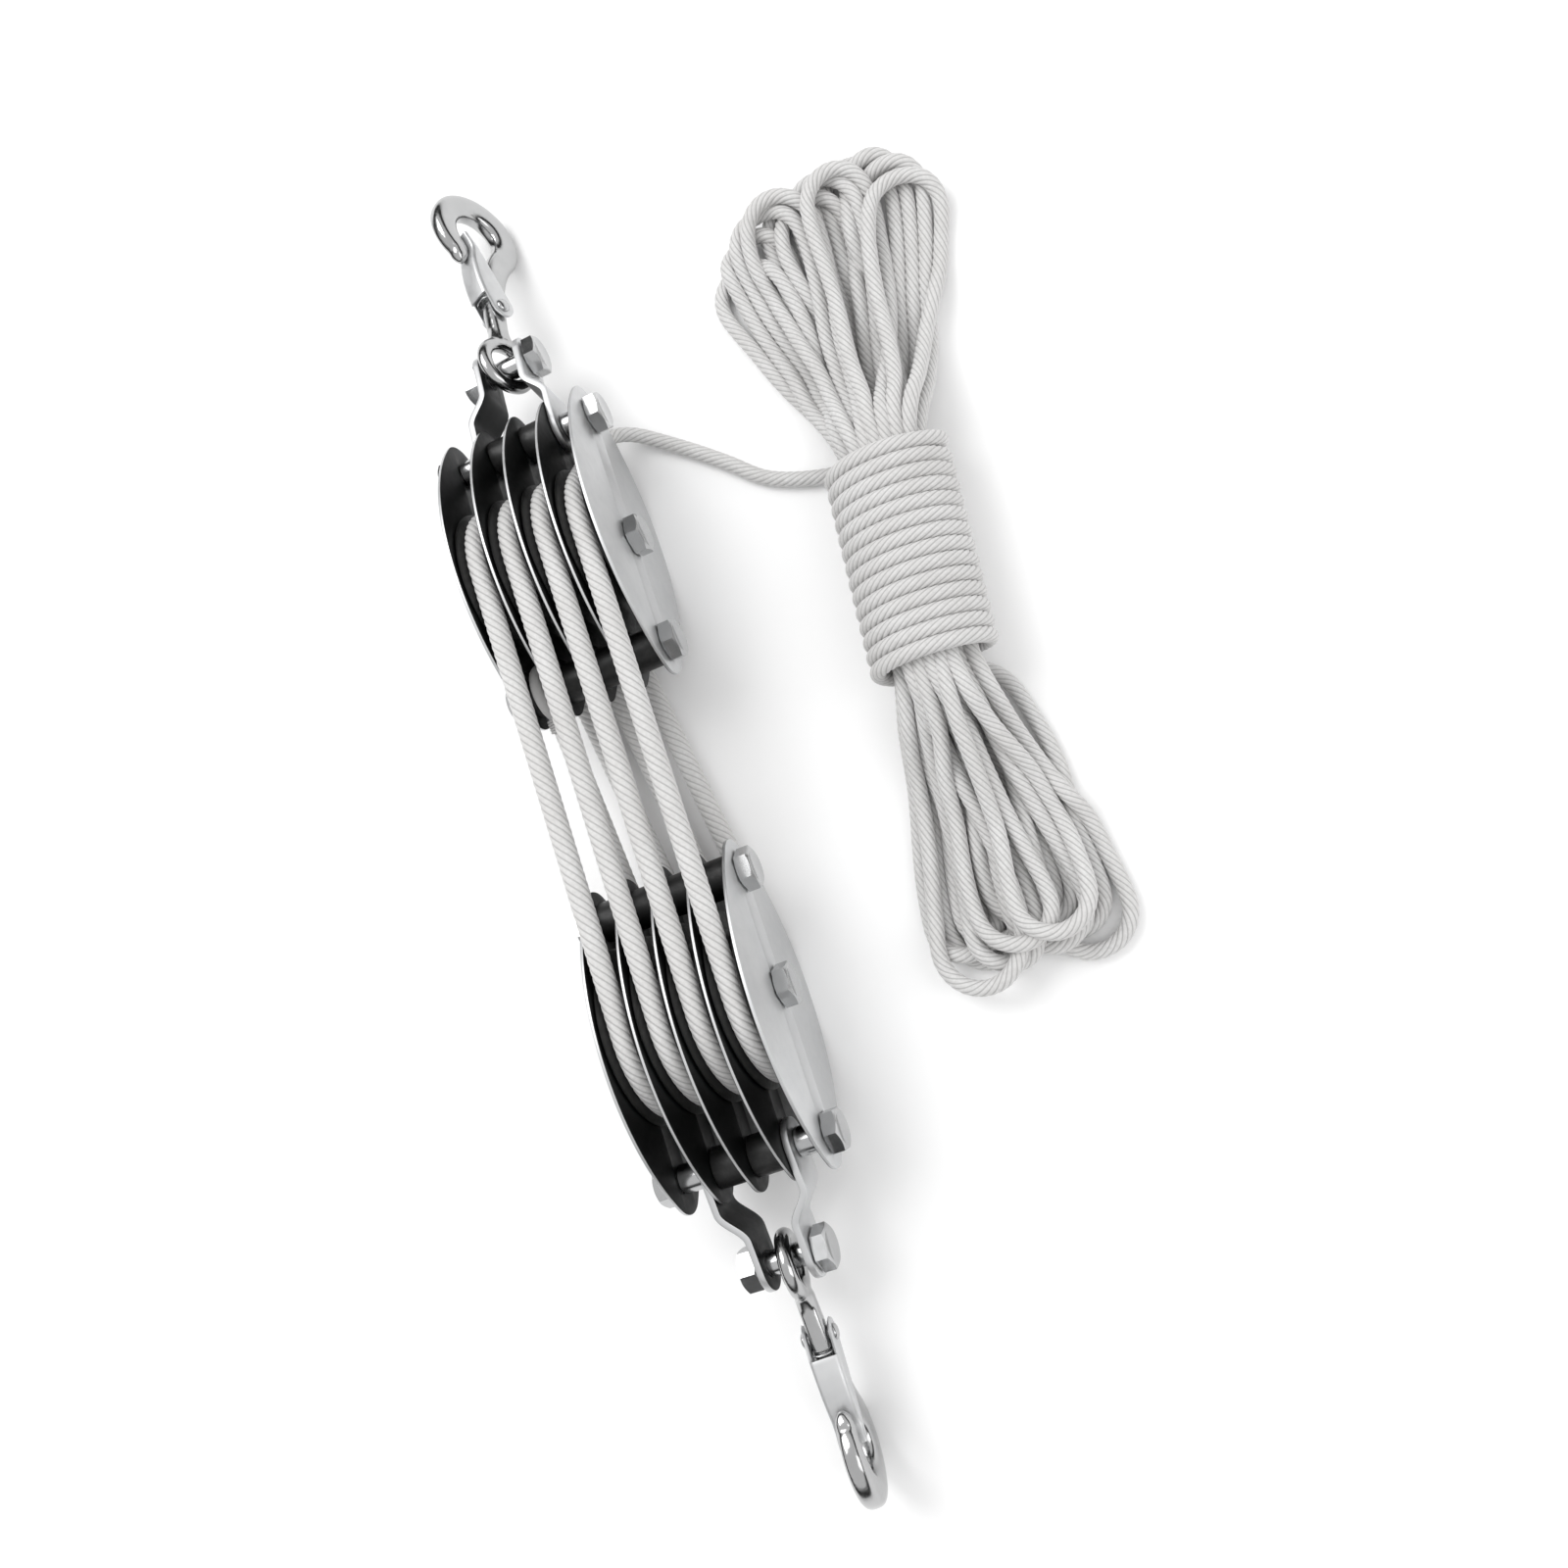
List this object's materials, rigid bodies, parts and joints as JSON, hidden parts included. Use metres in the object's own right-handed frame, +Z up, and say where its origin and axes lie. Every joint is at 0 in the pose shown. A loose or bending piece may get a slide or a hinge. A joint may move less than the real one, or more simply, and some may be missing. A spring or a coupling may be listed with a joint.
{
  "type": "block and tackle",
  "caption": "Rope block and tackle with plated multi-sheave blocks, cranked straps, latched eye hooks, and its hauling rope tied in a hank.",
  "frame": {"origin": "on the surface it lies on, under the middle of the two blocks and their hooks, the hauling rope and hank left out", "axes": "+X along the axles towards the bolt heads and the hank, +Y along the tackle towards the upper hook, +Z up from the surface"},
  "size_m": [0.2349, 0.5995, 0.078],
  "materials": {
    "zinc_plate": "bright zinc plating",
    "bolt_steel": "bright zinc plating",
    "hook_steel": "polished zinc plating",
    "black_nylon": "satin moulded nylon",
    "rope": "laid synthetic fibre"
  },
  "bodies": {
    "upper_block": {"upper_plate_1": "zinc_plate", "upper_plate_2": "zinc_plate", "upper_plate_3": "zinc_plate", "upper_plate_4": "zinc_plate", "upper_plate_5": "zinc_plate", "upper_axle_bolt": "bolt_steel", "upper_axle_nut": "bolt_steel", "upper_hook_end_bolt": "bolt_steel", "upper_hook_end_nut": "bolt_steel", "upper_rope_end_bolt": "bolt_steel", "upper_rope_end_nut": "bolt_steel", "upper_hook_end_spacer_1": "bolt_steel", "upper_hook_end_spacer_2": "black_nylon", "upper_hook_end_spacer_3": "black_nylon", "upper_hook_end_spacer_4": "bolt_steel", "upper_rope_end_spacer_1": "black_nylon", "upper_rope_end_spacer_2": "black_nylon", "upper_rope_end_spacer_3": "black_nylon", "upper_rope_end_spacer_4": "black_nylon", "reeved_rope": "rope", "hauling_part": "rope", "hank": "rope", "hank_binding": "rope"},
    "lower_block": {"lower_plate_1": "zinc_plate", "lower_plate_2": "zinc_plate", "lower_plate_3": "zinc_plate", "lower_plate_4": "zinc_plate", "lower_plate_5": "zinc_plate", "lower_axle_bolt": "bolt_steel", "lower_axle_nut": "bolt_steel", "lower_hook_end_bolt": "bolt_steel", "lower_hook_end_nut": "bolt_steel", "lower_rope_end_bolt": "bolt_steel", "lower_rope_end_nut": "bolt_steel", "lower_hook_end_spacer_1": "bolt_steel", "lower_hook_end_spacer_2": "black_nylon", "lower_hook_end_spacer_3": "black_nylon", "lower_hook_end_spacer_4": "bolt_steel", "lower_rope_end_spacer_1": "black_nylon", "lower_rope_end_spacer_2": "black_nylon", "lower_rope_end_spacer_3": "black_nylon", "lower_rope_end_spacer_4": "black_nylon"},
    "upper_sheave_1": {"upper_sheave_1": "black_nylon"},
    "upper_sheave_2": {"upper_sheave_2": "black_nylon"},
    "upper_sheave_3": {"upper_sheave_3": "black_nylon"},
    "upper_sheave_4": {"upper_sheave_4": "black_nylon"},
    "upper_straps": {"upper_strap_left": "zinc_plate", "upper_strap_right": "zinc_plate", "upper_hook_bolt": "bolt_steel"},
    "upper_hook_body": {"upper_hook": "hook_steel"},
    "upper_latch_body": {"upper_latch": "zinc_plate"},
    "lower_sheave_1": {"lower_sheave_1": "black_nylon"},
    "lower_sheave_2": {"lower_sheave_2": "black_nylon"},
    "lower_sheave_3": {"lower_sheave_3": "black_nylon"},
    "lower_sheave_4": {"lower_sheave_4": "black_nylon"},
    "lower_straps": {"lower_strap_left": "zinc_plate", "lower_strap_right": "zinc_plate", "lower_hook_bolt": "bolt_steel"},
    "lower_hook_body": {"lower_hook": "hook_steel"},
    "lower_latch_body": {"lower_latch": "zinc_plate"}
  },
  "joints": [
    {"name": "lower_block_travel", "type": "slide", "parent": "upper_block", "child": "lower_block", "axis": [0, -1, 0], "range_m": [-0.06, 0.3], "deforming": ["reeved_rope"]},
    {"name": "upper_sheave_1_spin", "type": "hinge", "parent": "upper_block", "child": "upper_sheave_1", "pos_m": [0.0014, 0.1, 0.039], "axis": [1, 0, 0], "continuous": true},
    {"name": "upper_sheave_2_spin", "type": "hinge", "parent": "upper_block", "child": "upper_sheave_2", "pos_m": [0.0014, 0.1, 0.039], "axis": [1, 0, 0], "continuous": true},
    {"name": "upper_sheave_3_spin", "type": "hinge", "parent": "upper_block", "child": "upper_sheave_3", "pos_m": [0.0014, 0.1, 0.039], "axis": [1, 0, 0], "continuous": true},
    {"name": "upper_sheave_4_spin", "type": "hinge", "parent": "upper_block", "child": "upper_sheave_4", "pos_m": [0.0014, 0.1, 0.039], "axis": [1, 0, 0], "continuous": true},
    {"name": "upper_strap_swing", "type": "hinge", "parent": "upper_block", "child": "upper_straps", "pos_m": [0.0014, 0.1595, 0.039], "axis": [1, 0, 0], "range_deg": [-36, 54]},
    {"name": "upper_hook_swing", "type": "hinge", "parent": "upper_straps", "child": "upper_hook_body", "pos_m": [0.0014, 0.20098, 0.03243], "axis": [1, 0, 0], "range_deg": [-90, 90]},
    {"name": "upper_latch_swing", "type": "hinge", "parent": "upper_hook_body", "child": "upper_latch_body", "pos_m": [0.00206, 0.2334, 0.02612], "axis": [-0.8988, -0.0661, -0.4334], "range_deg": [0, 18], "stiffness_Nm_per_rad": 0.05, "springref_deg": -11.46},
    {"name": "lower_sheave_1_spin", "type": "hinge", "parent": "lower_block", "child": "lower_sheave_1", "pos_m": [0.0014, -0.1, 0.039], "axis": [1, 0, 0], "continuous": true},
    {"name": "lower_sheave_2_spin", "type": "hinge", "parent": "lower_block", "child": "lower_sheave_2", "pos_m": [0.0014, -0.1, 0.039], "axis": [1, 0, 0], "continuous": true},
    {"name": "lower_sheave_3_spin", "type": "hinge", "parent": "lower_block", "child": "lower_sheave_3", "pos_m": [0.0014, -0.1, 0.039], "axis": [1, 0, 0], "continuous": true},
    {"name": "lower_sheave_4_spin", "type": "hinge", "parent": "lower_block", "child": "lower_sheave_4", "pos_m": [0.0014, -0.1, 0.039], "axis": [1, 0, 0], "continuous": true},
    {"name": "lower_strap_swing", "type": "hinge", "parent": "lower_block", "child": "lower_straps", "pos_m": [0.0014, -0.1595, 0.039], "axis": [-1, 0, 0], "range_deg": [-36, 54]},
    {"name": "lower_hook_swing", "type": "hinge", "parent": "lower_straps", "child": "lower_hook_body", "pos_m": [0.0014, -0.20098, 0.03243], "axis": [-1, 0, 0], "range_deg": [-90, 90]},
    {"name": "lower_latch_swing", "type": "hinge", "parent": "lower_hook_body", "child": "lower_latch_body", "pos_m": [0.00119, -0.2335, 0.02662], "axis": [0.9903, 0.0183, -0.138], "range_deg": [0, 18], "stiffness_Nm_per_rad": 0.05, "springref_deg": -11.46}
  ],
  "couplings": [
    {"joint": "upper_sheave_1_spin", "follows": "lower_block_travel", "rad_per_m": 64.516},
    {"joint": "upper_sheave_2_spin", "follows": "lower_block_travel", "rad_per_m": 129.03},
    {"joint": "upper_sheave_3_spin", "follows": "lower_block_travel", "rad_per_m": 193.55},
    {"joint": "upper_sheave_4_spin", "follows": "lower_block_travel", "rad_per_m": 258.06},
    {"joint": "lower_sheave_1_spin", "follows": "lower_block_travel", "rad_per_m": 32.258},
    {"joint": "lower_sheave_2_spin", "follows": "lower_block_travel", "rad_per_m": 96.774},
    {"joint": "lower_sheave_3_spin", "follows": "lower_block_travel", "rad_per_m": 161.29},
    {"joint": "lower_sheave_4_spin", "follows": "lower_block_travel", "rad_per_m": 225.81}
  ]
}
